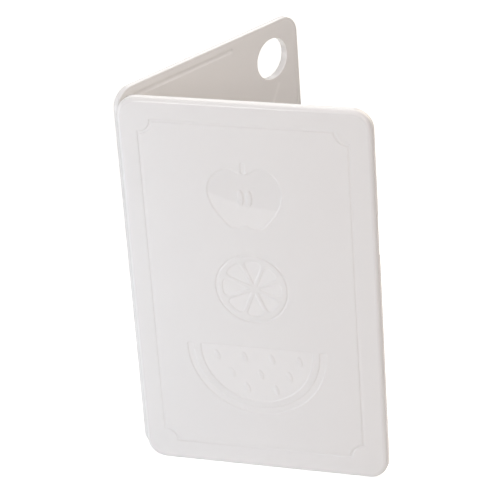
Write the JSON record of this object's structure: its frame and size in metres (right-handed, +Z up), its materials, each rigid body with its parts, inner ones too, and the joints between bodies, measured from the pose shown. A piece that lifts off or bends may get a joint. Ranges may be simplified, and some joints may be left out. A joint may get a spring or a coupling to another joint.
{
  "type": "folding cutting board",
  "caption": "Folding cutting board: two rounded plastic leaves joined by a film hinge, a hanging hole in one leaf, sunk frame and fruit figures on the other.",
  "frame": {"origin": "centre of the standing board's bounding box, on the surface that its short edges stand on", "axes": "+Z up along the fold, -Y out of the front leaf's outer face, +X from the fold to the front leaf's free edge"},
  "size_m": [0.1954, 0.1786, 0.3],
  "materials": {
    "white_shell": "satin white moulded polypropylene",
    "hinge_plastic": "thin flexed white polypropylene"
  },
  "bodies": {
    "front_leaf": {"front_panel": "white_shell", "hinge_film": "hinge_plastic"},
    "rear_leaf": {"rear_panel": "white_shell"}
  },
  "joints": [
    {"name": "fold", "type": "hinge", "parent": "front_leaf", "child": "rear_leaf", "pos_m": [-0.09323, -0.08273, 0.15], "axis": [0, 0, 1], "range_deg": [-63, 117], "deforming": ["hinge_film"]}
  ]
}
